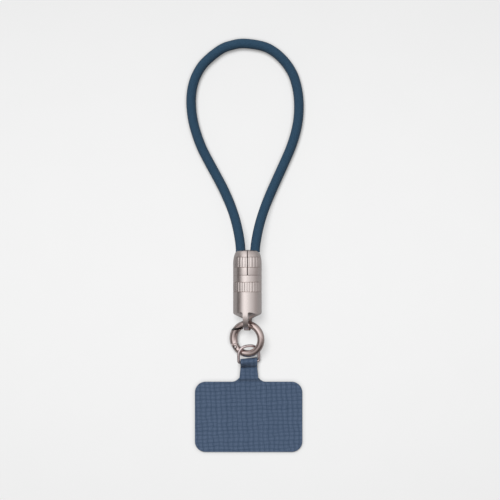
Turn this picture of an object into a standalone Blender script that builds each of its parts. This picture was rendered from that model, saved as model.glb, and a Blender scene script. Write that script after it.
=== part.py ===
"""Charging cable lanyard: a wrist loop of charging cable whose two plugs are held by a metal
capsule, with a spring-gate ring, a D-ring and a woven phone tab linked below it.

It lies flat on a surface, which is z = 0, with the loop towards +Y and the tab towards -Y.
The origin is on that surface, under the middle of everything but the free cable. Metres, +Z up.
"""
import math

import bmesh
import bpy
from mathutils import Matrix, Vector

MM = 0.001
GAP = 0.3 * MM

# Capsule that joins the two plugs
CAPSULE_RADIUS = 7.65 * MM
CAPSULE_X = -0.65 * MM
BODY_LENGTH = 19.65 * MM
BODY_PLAIN = 3.55 * MM
BODY_KNURL = 5.5 * MM
BODY_FLUTES = 30
EDGE_CHAMFER = 0.45 * MM
GROOVE_DEPTH = 0.22 * MM
GROOVE_WIDTH = 0.3 * MM
FLUTE_DEPTH = 0.15 * MM

# Plug grips, the two halves of the capsule's upper end
GRIP_LENGTH = 13.45 * MM
GRIP_PLAIN = 4.05 * MM
GRIP_KNURL = 5.8 * MM
GRIP_FLUTES = 12
SHOULDER_LENGTH = 7.5 * MM
SHOULDER_DEPTH = 2.8 * MM
SHOULDER_ROWS = 7

# Plugs at the two ends of the cable, with their wide side upright
PLUG_WIDTH = 8.34 * MM
PLUG_THICKNESS = 2.56 * MM
PLUG_LENGTH = 6.65 * MM
PLUG_WALL = 0.35 * MM
PLUG_MOUTH_DEPTH = 5.2 * MM
PLUG_ROOT = 1.2 * MM
PLUG_OFFSET = 4.0 * MM
SOCKET_SPARE = 0.6 * MM

# Charging cable
CABLE_DIAMETER = 5.2 * MM
CABLE_SEAT_DEPTH = 1.5 * MM
CABLE_LEFT_OFFSET = -3.65 * MM
CABLE_RIGHT_OFFSET = 4.15 * MM
CABLE_DROP_LENGTH = 34.0 * MM
CABLE_POINT_SPACING = 8.0 * MM

# Rounded nose of the capsule: a flat tongue between two milled cheeks, with a slotted eye
TONGUE_THICKNESS = 2.7 * MM
TONGUE_ROLL = math.radians(9.0)
TONGUE_POWER = 2.3
TONGUE_FILLET = 1.0 * MM
CHEEK_DROP = 4.8 * MM
CHEEK_SLOPE = math.radians(25.6)
CHEEK_DEPTH = 9.0 * MM
CHEEK_HALF_HEIGHT = 8.25 * MM
CHEEK_POWER = 2.6
CHEEK_EDGE = 1.2 * MM
EYE_DROP = 6.5 * MM
EYE_PLAY = 1.0 * MM
EYE_SAG = 0.3 * MM
EYE_STRETCH = 2.0 * MM
EYE_WALL = 0.75 * MM

# Spring-gate ring
RING_RADIUS = 7.98 * MM
RING_WIRE_RADIUS = 1.9 * MM
GATE_WIRE_RADIUS = 2.15 * MM
RING_X = -0.73 * MM
RING_PITCH = math.radians(6.0)
RING_ROLL = math.radians(23.0)
HINGE_ANGLE = math.radians(216.0)
NOSE_ANGLE = math.radians(134.0)
NOSE_SLOPE = math.radians(9.5)
NOSE_BEVEL = math.radians(12.0)
NOSE_GAP = 0.5 * MM
NOSE_SPARE = math.radians(16.0)
EAR_REACH = math.radians(11.0)
SHOULDER_GAP = math.radians(5.0)
FORK_MOUTH_EDGE = 0.4 * MM
KNUCKLE_THICKNESS = 1.2 * MM
KNUCKLE_RADIUS = 1.7 * MM
KNUCKLE_ROOT = math.radians(4.0)
KNUCKLE_SHORT = math.radians(2.0)
PIN_RADIUS = 0.8 * MM
PIN_CHAMFER = 0.2 * MM

# D-ring
D_WIRE_RADIUS = 0.75 * MM
D_HEIGHT = 8.9 * MM
D_ARC_HEIGHT = 5.3 * MM
D_ARC_POWER = 2.4
D_CORNER = 1.0 * MM
D_X = 0.15 * MM
D_PITCH = math.radians(13.0)
D_ROLL = math.radians(16.0)
D_YAW = math.radians(5.0)
LINK_GAP = 0.56 * MM

# Woven phone tab, one T-shaped sheet whose neck is folded over the D-ring's bar
TAB_THICKNESS = 1.0 * MM
TAB_WIDTH = 58.0 * MM
TAB_HEIGHT = 37.9 * MM
TAB_CORNER = 5.7 * MM
NECK_LENGTH = 10.9 * MM
NECK_WIDTH = 8.9 * MM
NECK_FILLET = 4.5 * MM
LAYER_GAP = 0.15 * MM
UNDER_LAYER_LENGTH = 5.6 * MM
FLOOR_GAP = 0.1 * MM
FOLD_BACK = 2.6 * MM
FOLD_SETTLE = 1.4 * MM
FOLD_STEPS = 11
TAB_COLUMNS = 6

# Sizes that follow from the ones above
ring_drop = RING_RADIUS * math.cos(RING_PITCH)
eye_radius = RING_WIRE_RADIUS + EYE_PLAY
tongue_reach = EYE_DROP + eye_radius + EYE_WALL
fold_mid_radius = D_WIRE_RADIUS + GAP + TAB_THICKNESS / 2
fold_outer_radius = fold_mid_radius + TAB_THICKNESS / 2
d_half_width = (NECK_WIDTH / 2 + GAP) / math.cos(D_ROLL) / math.cos(D_YAW) + D_WIRE_RADIUS
link_drop = RING_WIRE_RADIUS + LINK_GAP + fold_outer_radius
cable_radius = CABLE_DIAMETER / 2

# Stations along the lanyard, from the grips' rounded end down to the tab's lower edge
total_length = (GRIP_LENGTH + BODY_LENGTH + EYE_DROP + EYE_SAG + 2 * ring_drop
                + link_drop + NECK_LENGTH + TAB_HEIGHT)
y_top = total_length / 2
y_parting = y_top - GRIP_LENGTH
y_nose = y_parting - BODY_LENGTH
y_eye = y_nose - EYE_DROP
y_ring = y_eye - EYE_SAG - ring_drop
y_bar = y_ring - ring_drop - link_drop
y_plate = y_bar - NECK_LENGTH

# The cable's route in millimetres: across, and above the grips' end
CABLE_ROUTE = [
    (-4.6, 4.0), (-5.7, 10.5), (-7.3, 17.0), (-9.5, 23.5), (-12.25, 30.0), (-15.4, 36.45),
    (-22.4, 49.4), (-25.6, 55.9), (-28.0, 62.4), (-29.8, 68.9), (-30.8, 75.4), (-31.0, 81.9),
    (-30.15, 88.4), (-27.85, 94.9), (-23.5, 101.3), (-15.2, 108.1), (-8.7, 110.6), (-2.2, 111.45),
    (7.5, 110.0), (14.0, 106.8), (19.8, 101.3), (23.85, 94.9), (25.95, 88.4), (26.95, 81.9),
    (27.1, 75.4), (26.5, 68.9), (25.1, 62.4), (23.0, 55.9), (20.3, 49.4), (14.45, 36.45),
    (11.6, 30.0), (9.0, 23.5), (6.8, 17.0), (5.1, 10.5), (3.9, 4.0),
]


def clear_scene():
    """Start from an empty scene."""
    for obj in list(bpy.data.objects):
        bpy.data.objects.remove(obj, do_unlink=True)


def material(name, colour, roughness, metallic):
    """A plain Principled material with the piece's colour."""
    made = bpy.data.materials.new(name)
    made.use_nodes = True
    shader = made.node_tree.nodes["Principled BSDF"]
    shader.inputs["Base Color"].default_value = (*colour, 1.0)
    shader.inputs["Roughness"].default_value = roughness
    shader.inputs["Metallic"].default_value = metallic
    return made


def add_piece(name, points, faces, look=None, place=None):
    """One object from points and faces, with its faces turned outwards."""
    mesh = bpy.data.meshes.new(name)
    mesh.from_pydata([tuple(point) for point in points], [], faces)
    bm = bmesh.new()
    bm.from_mesh(mesh)
    bmesh.ops.recalc_face_normals(bm, faces=bm.faces)
    bm.to_mesh(mesh)
    bm.free()
    mesh.shade_smooth()
    mesh.set_sharp_from_angle(angle=math.radians(35))
    piece = bpy.data.objects.new(name, mesh)
    if look is not None:
        mesh.materials.append(look)
    if place is not None:
        piece.matrix_world = place
    bpy.context.collection.objects.link(piece)
    return piece


def loft(loops, closed=False):
    """Points and faces of a skin over loops that have the same number of points."""
    count = len(loops[0])
    points = [point for loop in loops for point in loop]
    faces = []
    for row in range(len(loops) if closed else len(loops) - 1):
        after = (row + 1) % len(loops)
        for i in range(count):
            j = (i + 1) % count
            faces.append((row * count + i, row * count + j, after * count + j, after * count + i))
    if not closed:
        faces.append(tuple(reversed(range(count))))
        faces.append(tuple((len(loops) - 1) * count + i for i in range(count)))
    return points, faces


def cutter(name, points, faces, place=None):
    """A helper solid that another piece joins or cuts with, left out of the part."""
    helper = add_piece(name, points, faces, place=place)
    helper.hide_render = True
    helper.display_type = "WIRE"
    return helper


def combine(piece, helper, operation):
    """Join, cut or intersect a piece with a helper solid."""
    step = piece.modifiers.new(operation.lower(), "BOOLEAN")
    step.operation = operation
    step.object = helper
    step.solver = "EXACT"


def stadium(width, thickness, y, steps=6):
    """A round-ended slot outline at height y, its wide side along Z."""
    radius = thickness / 2
    reach = width / 2 - radius
    outline = []
    for centre, start in ((reach, 0.0), (-reach, math.pi)):
        for i in range(steps + 1):
            angle = start + math.pi * i / steps
            outline.append(Vector((radius * math.cos(angle), y, centre + radius * math.sin(angle))))
    return outline


def cylinder(radius, low, high, centre, sides=20):
    """Points and faces of a cylinder along Y."""
    loops = []
    for y in (low, high):
        loops.append([Vector((centre[0] + radius * math.cos(2 * math.pi * i / sides), y,
                              centre[1] + radius * math.sin(2 * math.pi * i / sides)))
                      for i in range(sides)])
    return loft(loops)


def disc(radius, low, high, centre, sides=20):
    """Points and faces of a cylinder along Z."""
    loops = []
    for z in (low, high):
        loops.append([Vector((centre[0] + radius * math.cos(2 * math.pi * i / sides),
                              centre[1] + radius * math.sin(2 * math.pi * i / sides), z))
                      for i in range(sides)])
    return loft(loops)


def box(low, high):
    """Points and faces of a box between two corners."""
    loops = [[Vector((x, y, z)) for x, y in
              ((low[0], low[1]), (high[0], low[1]), (high[0], high[1]), (low[0], high[1]))]
             for z in (low[2], high[2])]
    return loft(loops)


def capsule_place():
    """The capsule's frame: on its axis, at the parting plane."""
    return Matrix.Translation((CAPSULE_X, y_parting, CAPSULE_RADIUS))


# Charging cable

def smooth_route(points, per_span=12):
    """A Catmull-Rom curve through the points."""
    ends = [2 * points[0] - points[1]] + points + [2 * points[-1] - points[-2]]
    curve = []
    for a, b, c, d in zip(ends, ends[1:], ends[2:], ends[3:]):
        for i in range(per_span):
            t = i / per_span
            curve.append(0.5 * (2 * b + (c - a) * t + (2 * a - 5 * b + 4 * c - d) * t ** 2
                                + (3 * b - a - 3 * c + d) * t ** 3))
    curve.append(points[-1])
    return curve


def even_points(curve, spacing):
    """Points at an even spacing along a curve, with both of its ends."""
    total = sum((b - a).length for a, b in zip(curve, curve[1:]))
    step = total / round(total / spacing)
    picked = [curve[0]]
    walked = 0.0
    for a, b in zip(curve, curve[1:]):
        span = (b - a).length
        while walked + span >= step * len(picked) and len(picked) < round(total / spacing):
            picked.append(a.lerp(b, (step * len(picked) - walked) / span))
        walked += span
    picked.append(curve[-1])
    return picked


def cable_height(above):
    """The cable leaves the grips on the capsule's axis and sinks smoothly to the surface."""
    share = min(max(above / CABLE_DROP_LENGTH, 0.0), 1.0)
    ease = share * share * (3 - 2 * share)
    return CAPSULE_RADIUS + (cable_radius - CAPSULE_RADIUS) * ease


def charging_cable(look):
    """The bare cable, one tube from the left grip round to the right one."""
    seats = []
    exits = []
    for offset in (CABLE_LEFT_OFFSET, CABLE_RIGHT_OFFSET):
        seats.append(Vector((CAPSULE_X + offset, y_top - CABLE_SEAT_DEPTH + GAP, CAPSULE_RADIUS)))
        exits.append(Vector((CAPSULE_X + offset, y_top + GAP, CAPSULE_RADIUS)))
    route = [exits[0]]
    for across, above in CABLE_ROUTE:
        route.append(Vector((across * MM, y_top + above * MM, cable_height(above * MM))))
    route.append(exits[1])
    points = [seats[0]] + even_points(smooth_route(route), CABLE_POINT_SPACING) + [seats[1]]
    curve = bpy.data.curves.new("charging_cable", "CURVE")
    curve.dimensions = "3D"
    spline = curve.splines.new("POLY")
    spline.points.add(len(points) - 1)
    for target, point in zip(spline.points, points):
        target.co = (*point, 1.0)
    curve.bevel_depth = cable_radius
    curve.bevel_resolution = 4
    curve.use_fill_caps = True
    curve.materials.append(look)
    cable = bpy.data.objects.new("charging_cable", curve)
    bpy.context.collection.objects.link(cable)
    return cable


# Plug grips

def grip_rows():
    """Height above the parting plane, radius and flute depth of each turned row of a grip."""
    knurl_end = GRIP_PLAIN + GRIP_KNURL
    shoulder = GRIP_LENGTH - SHOULDER_LENGTH

    def radius_at(height):
        share = min(max((height - shoulder) / SHOULDER_LENGTH, 0.0), 1.0)
        return CAPSULE_RADIUS - SHOULDER_DEPTH * (1 - math.sqrt(1 - share * share))

    rows = [
        (GAP, CAPSULE_RADIUS - GROOVE_DEPTH, 0.0),
        (GAP + GROOVE_DEPTH, CAPSULE_RADIUS, 0.0),
        (GRIP_PLAIN, CAPSULE_RADIUS, 0.0),
        (GRIP_PLAIN + GROOVE_WIDTH / 2, CAPSULE_RADIUS - GROOVE_DEPTH, 0.0),
        (GRIP_PLAIN + GROOVE_WIDTH, CAPSULE_RADIUS, FLUTE_DEPTH),
    ]
    for share in (0.5, 0.8, 1.0):
        height = GRIP_PLAIN + GROOVE_WIDTH + (GRIP_KNURL - 2 * GROOVE_WIDTH) * share
        rows.append((height, radius_at(height), FLUTE_DEPTH))
    rows.append((knurl_end - GROOVE_WIDTH / 2, radius_at(knurl_end) - GROOVE_DEPTH, 0.0))
    for i in range(SHOULDER_ROWS + 1):
        share = math.sin(math.pi / 2 * i / SHOULDER_ROWS)
        height = knurl_end + (GRIP_LENGTH - knurl_end) * share
        rows.append((height, radius_at(height), 0.0))
    return rows


def plug_grip(name, side, cable_offset, look):
    """Half of the capsule's upper end, with a seat for the cable and a pocket for the plug."""
    segments = 2 * GRIP_FLUTES
    loops = []
    for height, radius, depth in grip_rows():
        reach = math.acos(GAP / 2 / radius)
        loop = []
        for i in range(segments + 1):
            angle = -reach + 2 * reach * i / segments
            here = radius - (depth if i % 2 else 0.0)
            loop.append(Vector((side * max(here * math.cos(angle), GAP / 2), height,
                                here * math.sin(angle))))
        loops.append(loop)
    grip = add_piece(name, *loft(loops), look, capsule_place())
    seat = cylinder(cable_radius + GAP, GRIP_LENGTH - CABLE_SEAT_DEPTH, GRIP_LENGTH + SHOULDER_LENGTH,
                    (cable_offset, 0.0))
    combine(grip, cutter(name + "_seat", *seat, capsule_place()), "DIFFERENCE")
    pocket = loft([stadium(PLUG_WIDTH + 2 * GAP, PLUG_THICKNESS + 2 * GAP, y)
                   for y in (-PLUG_ROOT, PLUG_ROOT + 2 * GAP)])
    place = capsule_place() @ Matrix.Translation((side * PLUG_OFFSET, 0.0, 0.0))
    combine(grip, cutter(name + "_pocket", *pocket, place), "DIFFERENCE")
    return grip


def usb_plug(name, side, look):
    """A plug's metal shell, a flat tube with an open mouth, rooted in its grip."""
    shell = loft([stadium(PLUG_WIDTH, PLUG_THICKNESS, y) for y in (PLUG_ROOT + GAP, -PLUG_LENGTH)])
    mouth = loft([stadium(PLUG_WIDTH - 2 * PLUG_WALL, PLUG_THICKNESS - 2 * PLUG_WALL, y)
                  for y in (PLUG_MOUTH_DEPTH - PLUG_LENGTH, -2 * PLUG_LENGTH)])
    place = capsule_place() @ Matrix.Translation((side * PLUG_OFFSET, 0.0, 0.0))
    plug = add_piece(name, *shell, look, place)
    combine(plug, cutter(name + "_mouth", *mouth, place), "DIFFERENCE")
    return plug


# Capsule body with its tongue

def body_rows():
    """Depth below the parting plane, radius and flute depth of each turned row of the body."""
    knurl_end = BODY_PLAIN + BODY_KNURL
    return [
        (0.0, CAPSULE_RADIUS - EDGE_CHAMFER, 0.0),
        (EDGE_CHAMFER, CAPSULE_RADIUS, 0.0),
        (BODY_PLAIN, CAPSULE_RADIUS, 0.0),
        (BODY_PLAIN + GROOVE_WIDTH / 2, CAPSULE_RADIUS - GROOVE_DEPTH, 0.0),
        (BODY_PLAIN + GROOVE_WIDTH, CAPSULE_RADIUS, FLUTE_DEPTH),
        (knurl_end - GROOVE_WIDTH, CAPSULE_RADIUS, FLUTE_DEPTH),
        (knurl_end - GROOVE_WIDTH / 2, CAPSULE_RADIUS - GROOVE_DEPTH, 0.0),
        (knurl_end, CAPSULE_RADIUS, 0.0),
        (BODY_LENGTH + tongue_reach + CAPSULE_RADIUS, CAPSULE_RADIUS, 0.0),
    ]


def slot_outline(radius, stretch, steps=10):
    """A round-ended slot in the tongue's plane: across it, and along the capsule."""
    outline = []
    for centre, start in ((stretch, 0.0), (-stretch, math.pi)):
        for i in range(steps + 1):
            angle = start + math.pi * i / steps
            outline.append((centre + radius * math.sin(angle), radius * math.cos(angle)))
    return outline


def cheek_height(reach, across):
    """A milled cheek's height at a distance from the tongue's middle and from the capsule's axis:
    a blunt ellipse seen from the side, falling towards the tongue, which it meets in a fillet, and
    rounded up to the barrel at its outer edge."""
    share = min(across, CAPSULE_RADIUS) / CHEEK_HALF_HEIGHT
    curl = CHEEK_DEPTH * (1 - (1 - share ** CHEEK_POWER) ** (1 / CHEEK_POWER))
    corner = max(TONGUE_THICKNESS / 2 + TONGUE_FILLET - reach, 0.0)
    fillet = TONGUE_FILLET - math.sqrt(TONGUE_FILLET ** 2 - corner ** 2)
    beyond = min(max(reach - CAPSULE_RADIUS + CHEEK_EDGE, 0.0), CHEEK_EDGE)
    rounding = CHEEK_EDGE - math.sqrt(CHEEK_EDGE ** 2 - beyond ** 2)
    return curl + math.tan(CHEEK_SLOPE) * reach - fillet + rounding - CHEEK_DROP


def nose_block():
    """The block that the turned body is trimmed to. Its lower face is the capsule's rounded nose,
    a blunt ellipse on the tongue's end and a milled cheek on each side of it."""
    half = TONGUE_THICKNESS / 2
    wide = CAPSULE_RADIUS + GAP
    top = BODY_LENGTH + GAP
    reaches = [half + TONGUE_FILLET * (1 - math.cos(math.radians(turn))) for turn in (0, 35, 60, 90)]
    reaches += [CAPSULE_RADIUS - CHEEK_EDGE * (1 - math.sin(math.radians(turn))) for turn in (0, 30, 60, 90)]
    reaches.append(wide)
    steps = 9
    profile = []
    for i in range(steps + 1):
        angle = math.pi / 2 * i / steps
        profile.append((CAPSULE_RADIUS * math.sin(angle) ** (2 / TONGUE_POWER),
                        -tongue_reach * max(math.cos(angle), 0.0) ** (2 / TONGUE_POWER)))
    profile.append((wide, 0.0))
    profile = [(-across, end) for across, end in reversed(profile[1:])] + profile
    loops = []
    for across, end in profile:
        right = [Vector((reach, cheek_height(reach, abs(across)), across)) for reach in reaches]
        left = [Vector((-point.x, point.y, point.z)) for point in reversed(right)]
        tongue = [Vector((-half, end, across)), Vector((half, end, across))]
        roof = [Vector((wide, top, across)), Vector((-wide, top, across))]
        loops.append(left + tongue + right + roof)
    return loft(loops)


def capsule_body(look):
    """The capsule's lower part: turned body, rounded nose, tongue, eye and two plug sockets."""
    segments = 2 * BODY_FLUTES
    loops = []
    for depth, radius, flute in body_rows():
        loop = []
        for i in range(segments):
            angle = 2 * math.pi * i / segments
            here = radius - (flute if i % 2 else 0.0)
            loop.append(Vector((here * math.cos(angle), -depth, here * math.sin(angle))))
        loops.append(loop)
    body = add_piece("capsule_body", *loft(loops), look, capsule_place())

    roll = Matrix.Rotation(-TONGUE_ROLL, 4, "Y")
    nose_place = Matrix.Translation((CAPSULE_X, y_nose, CAPSULE_RADIUS)) @ roll
    combine(body, cutter("nose", *nose_block(), nose_place), "INTERSECT")
    eye_place = Matrix.Translation((CAPSULE_X, y_eye, CAPSULE_RADIUS)) @ roll
    eye = loft([[Vector((x, along, across)) for across, along in slot_outline(eye_radius, EYE_STRETCH)]
                for x in (-TONGUE_THICKNESS, TONGUE_THICKNESS)])
    combine(body, cutter("tongue_eye", *eye, eye_place), "DIFFERENCE")

    depth = PLUG_LENGTH + SOCKET_SPARE
    for side, label in ((-1, "left"), (1, "right")):
        socket = loft([stadium(PLUG_WIDTH + 2 * GAP, PLUG_THICKNESS + 2 * GAP, y)
                       for y in (depth, -depth)])
        place = capsule_place() @ Matrix.Translation((side * PLUG_OFFSET, 0.0, 0.0))
        combine(body, cutter("socket_" + label, *socket, place), "DIFFERENCE")
    return body


# Spring-gate ring

def ring_place():
    """The ring's frame: X across it, Y towards the capsule, Z out of its face."""
    up = Vector((0.0, math.cos(RING_PITCH), math.sin(RING_PITCH)))
    across = Vector((math.cos(RING_ROLL), 0.0, math.sin(RING_ROLL)))
    across = (across - across.dot(up) * up).normalized()
    normal = across.cross(up)
    lowest = 0.0
    for degree in range(360):
        angle = math.radians(degree)
        on_gate = NOSE_ANGLE < angle < HINGE_ANGLE
        wire = GATE_WIRE_RADIUS if on_gate else RING_WIRE_RADIUS
        height = RING_RADIUS * (across.z * math.cos(angle) + up.z * math.sin(angle)) - wire
        lowest = min(lowest, height)
    place = Matrix((across, up, normal)).transposed().to_4x4()
    place.translation = Vector((RING_X, y_ring, -lowest))
    return place


def wire_arc(radius, start, end, steps, sides=14):
    """Points and faces of a bent round wire on the ring's circle."""
    loops = []
    for i in range(steps + 1):
        angle = start + (end - start) * i / steps
        loop = []
        for j in range(sides):
            turn = 2 * math.pi * j / sides
            reach = RING_RADIUS + radius * math.cos(turn)
            loop.append(Vector((reach * math.cos(angle), reach * math.sin(angle),
                                radius * math.sin(turn))))
        loops.append(loop)
    return loft(loops)


def hinge_point():
    """The hinge pin's centre in the ring's frame."""
    return Vector((RING_RADIUS * math.cos(HINGE_ANGLE), RING_RADIUS * math.sin(HINGE_ANGLE), 0.0))


def nose_cutter(name, above, place):
    """A block on one side of the slanting joint between the gate's nose and the ring's end."""
    reach = 3 * RING_WIRE_RADIUS
    gap = NOSE_GAP / 2
    low, high = (-gap, reach) if above else (-reach, gap)
    block = box((-reach, low, -reach), (reach, high, reach))
    nose = Vector((RING_RADIUS * math.cos(NOSE_ANGLE), RING_RADIUS * math.sin(NOSE_ANGLE), 0.0))
    slant = Matrix.Rotation(NOSE_SLOPE, 4, "Z") @ Matrix.Rotation(NOSE_BEVEL, 4, "X")
    return cutter(name, *block, place @ Matrix.Translation(nose) @ slant)


def spring_ring(look):
    """The ring's fixed part: bent wire from the hinge's forked ears round to the nose."""
    place = ring_place()
    end = 2 * math.pi + NOSE_ANGLE + NOSE_SPARE
    body = wire_arc(RING_WIRE_RADIUS, HINGE_ANGLE - EAR_REACH, end, 44)
    ring = add_piece("spring_ring", *body, look, place)
    combine(ring, nose_cutter("nose_low", False, place), "DIFFERENCE")
    hinge = place @ Matrix.Translation(hinge_point())
    slot = KNUCKLE_THICKNESS / 2 + GAP
    reach = KNUCKLE_RADIUS + GAP
    combine(ring, cutter("fork_slot", *disc(reach, -slot, slot, (0, 0), 24), hinge), "DIFFERENCE")
    turned = hinge @ Matrix.Rotation(HINGE_ANGLE, 4, "Z")
    mouth = box((-3 * reach, -3 * reach, -slot), (3 * reach, -FORK_MOUTH_EDGE, slot))
    combine(ring, cutter("fork_mouth", *mouth, turned), "DIFFERENCE")
    bore = disc(PIN_RADIUS + GAP, -2 * RING_WIRE_RADIUS, 2 * RING_WIRE_RADIUS, (0, 0), 16)
    combine(ring, cutter("fork_bore", *bore, hinge), "DIFFERENCE")
    return ring


def ring_gate(look):
    """The sprung gate, a thicker tube with a flat knuckle on the hinge pin."""
    place = ring_place()
    hinge = hinge_point()
    shoulder = HINGE_ANGLE - EAR_REACH - SHOULDER_GAP
    points, faces = wire_arc(GATE_WIRE_RADIUS, NOSE_ANGLE - NOSE_SPARE, shoulder, 16)
    at_hinge = place @ Matrix.Translation(hinge)
    gate = add_piece("ring_gate", [point - hinge for point in points], faces, look, at_hinge)
    combine(gate, nose_cutter("nose_high", True, place), "DIFFERENCE")
    half = KNUCKLE_THICKNESS / 2
    neck = wire_arc(KNUCKLE_RADIUS, shoulder - KNUCKLE_ROOT, HINGE_ANGLE - KNUCKLE_SHORT, 6)
    tongue = cutter("knuckle_neck", *neck, place)
    slab_reach = 3 * KNUCKLE_RADIUS
    slab = cutter("knuckle_slab", *box((-slab_reach, -slab_reach, -half),
                                       (slab_reach, slab_reach, half)), at_hinge)
    combine(tongue, slab, "INTERSECT")
    eye = cutter("knuckle_eye", *disc(KNUCKLE_RADIUS, -half, half, (0, 0), 24), at_hinge)
    combine(gate, tongue, "UNION")
    combine(gate, eye, "UNION")
    bore = disc(PIN_RADIUS + GAP, -RING_WIRE_RADIUS, RING_WIRE_RADIUS, (0, 0), 16)
    combine(gate, cutter("knuckle_bore", *bore, at_hinge), "DIFFERENCE")
    return gate


def gate_pin(look):
    """The rivet that the gate turns on, flush with the ring's wire."""
    sides = 16
    rows = [(-RING_WIRE_RADIUS, PIN_RADIUS - PIN_CHAMFER),
            (PIN_CHAMFER - RING_WIRE_RADIUS, PIN_RADIUS),
            (RING_WIRE_RADIUS - PIN_CHAMFER, PIN_RADIUS),
            (RING_WIRE_RADIUS, PIN_RADIUS - PIN_CHAMFER)]
    loops = [[Vector((radius * math.cos(2 * math.pi * i / sides),
                      radius * math.sin(2 * math.pi * i / sides), z)) for i in range(sides)]
             for z, radius in rows]
    return add_piece("gate_pin", *loft(loops), look, ring_place() @ Matrix.Translation(hinge_point()))


# D-ring

def bar_height():
    """The bar's height, so that the rolled fold around it just clears the surface."""
    return fold_outer_radius + math.tan(D_ROLL) * NECK_WIDTH / 2 + FLOOR_GAP


def d_ring_place():
    """The D-ring's frame: on the middle of its bar, X along the bar, Y towards the arc."""
    along = Vector((math.cos(D_ROLL) * math.cos(D_YAW), math.cos(D_ROLL) * math.sin(D_YAW),
                    -math.sin(D_ROLL)))
    up = Vector((-math.sin(D_YAW) * math.cos(D_PITCH), math.cos(D_YAW) * math.cos(D_PITCH),
                 math.sin(D_PITCH)))
    up = (up - up.dot(along) * along).normalized()
    place = Matrix((along, up, along.cross(up))).transposed().to_4x4()
    place.translation = Vector((D_X, y_bar, bar_height()))
    return place


def d_outline():
    """The D's centre line: straight bar, tight corners, upright legs and a squarish arc."""
    outline = []
    steps = 4
    for side, start in ((1, -math.pi / 2), (-1, math.pi)):
        corner = []
        for i in range(steps + 1):
            angle = start + (math.pi / 2) * i / steps
            corner.append((side * (d_half_width - D_CORNER) + D_CORNER * math.cos(angle),
                           D_CORNER + D_CORNER * math.sin(angle)))
        if side == 1:
            outline += corner
            spring = D_HEIGHT - D_ARC_HEIGHT
            for i in range(25):
                angle = math.pi * i / 24
                across = abs(math.cos(angle)) ** (2 / D_ARC_POWER)
                rise = abs(math.sin(angle)) ** (2 / D_ARC_POWER)
                outline.append((math.copysign(d_half_width * across, math.cos(angle)),
                                spring + D_ARC_HEIGHT * rise))
        else:
            outline += corner
    return outline


def d_ring(look):
    """A D of round wire whose bar lies in the tab's fold."""
    path = [Vector((x, y, 0.0)) for x, y in d_outline()]
    sides = 10
    face = Vector((0.0, 0.0, 1.0))
    loops = []
    for i, point in enumerate(path):
        travel = (path[(i + 1) % len(path)] - path[i - 1]).normalized()
        outward = travel.cross(face)
        loops.append([point + D_WIRE_RADIUS * (math.cos(2 * math.pi * j / sides) * outward
                                               + math.sin(2 * math.pi * j / sides) * face)
                      for j in range(sides)])
    return add_piece("d_ring", *loft(loops, closed=True), look, d_ring_place())


# Phone tab

def plate_outline():
    """The plate's outline as half widths up its height, with rounded corners."""
    corner = []
    steps = 7
    for i in range(steps + 1):
        angle = math.pi / 2 * i / steps
        corner.append((TAB_WIDTH / 2 - TAB_CORNER + TAB_CORNER * math.cos(angle),
                       TAB_CORNER * math.sin(angle)))
    low = [(x, y_plate - TAB_HEIGHT + TAB_CORNER - y) for x, y in reversed(corner)]
    high = [(x, y_plate - TAB_CORNER + y) for x, y in corner]
    return low + high


def neck_half_width(above):
    """Half the neck's width at a height above the plate, with its fillets."""
    left = min(max(NECK_FILLET - above, 0.0), NECK_FILLET)
    return NECK_WIDTH / 2 + NECK_FILLET - math.sqrt(NECK_FILLET ** 2 - left ** 2)


def ease(share):
    """A smooth step from 0 to 1."""
    share = min(max(share, 0.0), 1.0)
    return share * share * (3 - 2 * share)


def neck_path(across):
    """The neck's middle line at one place across it: from the plate onto the lower layer, steeply
    up behind the bar, over it in a half turn and back underneath."""
    flat = TAB_THICKNESS / 2
    upper = flat + TAB_THICKNESS + LAYER_GAP
    bar_y = y_bar + math.tan(D_YAW) * (across - D_X)
    bar_z = bar_height() - math.tan(D_ROLL) * (across - D_X)
    foot_y = y_bar - FOLD_BACK
    top_z = bar_z + fold_mid_radius
    under_end = y_plate + NECK_LENGTH - fold_outer_radius - UNDER_LAYER_LENGTH - TAB_THICKNESS

    path = []
    for i in range(9):
        share = i / 8
        path.append((y_plate + (under_end - y_plate) * share, flat + (upper - flat) * ease(share)))
    for turn in (0, 20, 40, 60, 78):
        angle = math.radians(turn)
        path.append((bar_y - (bar_y - foot_y) * math.cos(angle), upper + (top_z - upper) * math.sin(angle)))
    for i in range(FOLD_STEPS + 1):
        angle = math.pi / 2 - math.pi * i / FOLD_STEPS
        path.append((bar_y + fold_mid_radius * math.cos(angle), bar_z + fold_mid_radius * math.sin(angle)))
    low_y, low_z = path[-1]
    for share in (0.3, 0.65, 1.0):
        path.append((low_y - FOLD_SETTLE * share, low_z + (flat - low_z) * ease(share)))
    last = under_end + TAB_THICKNESS
    path.append(((path[-1][0] + last) / 2, flat))
    path.append((last, flat))
    return path


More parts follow.
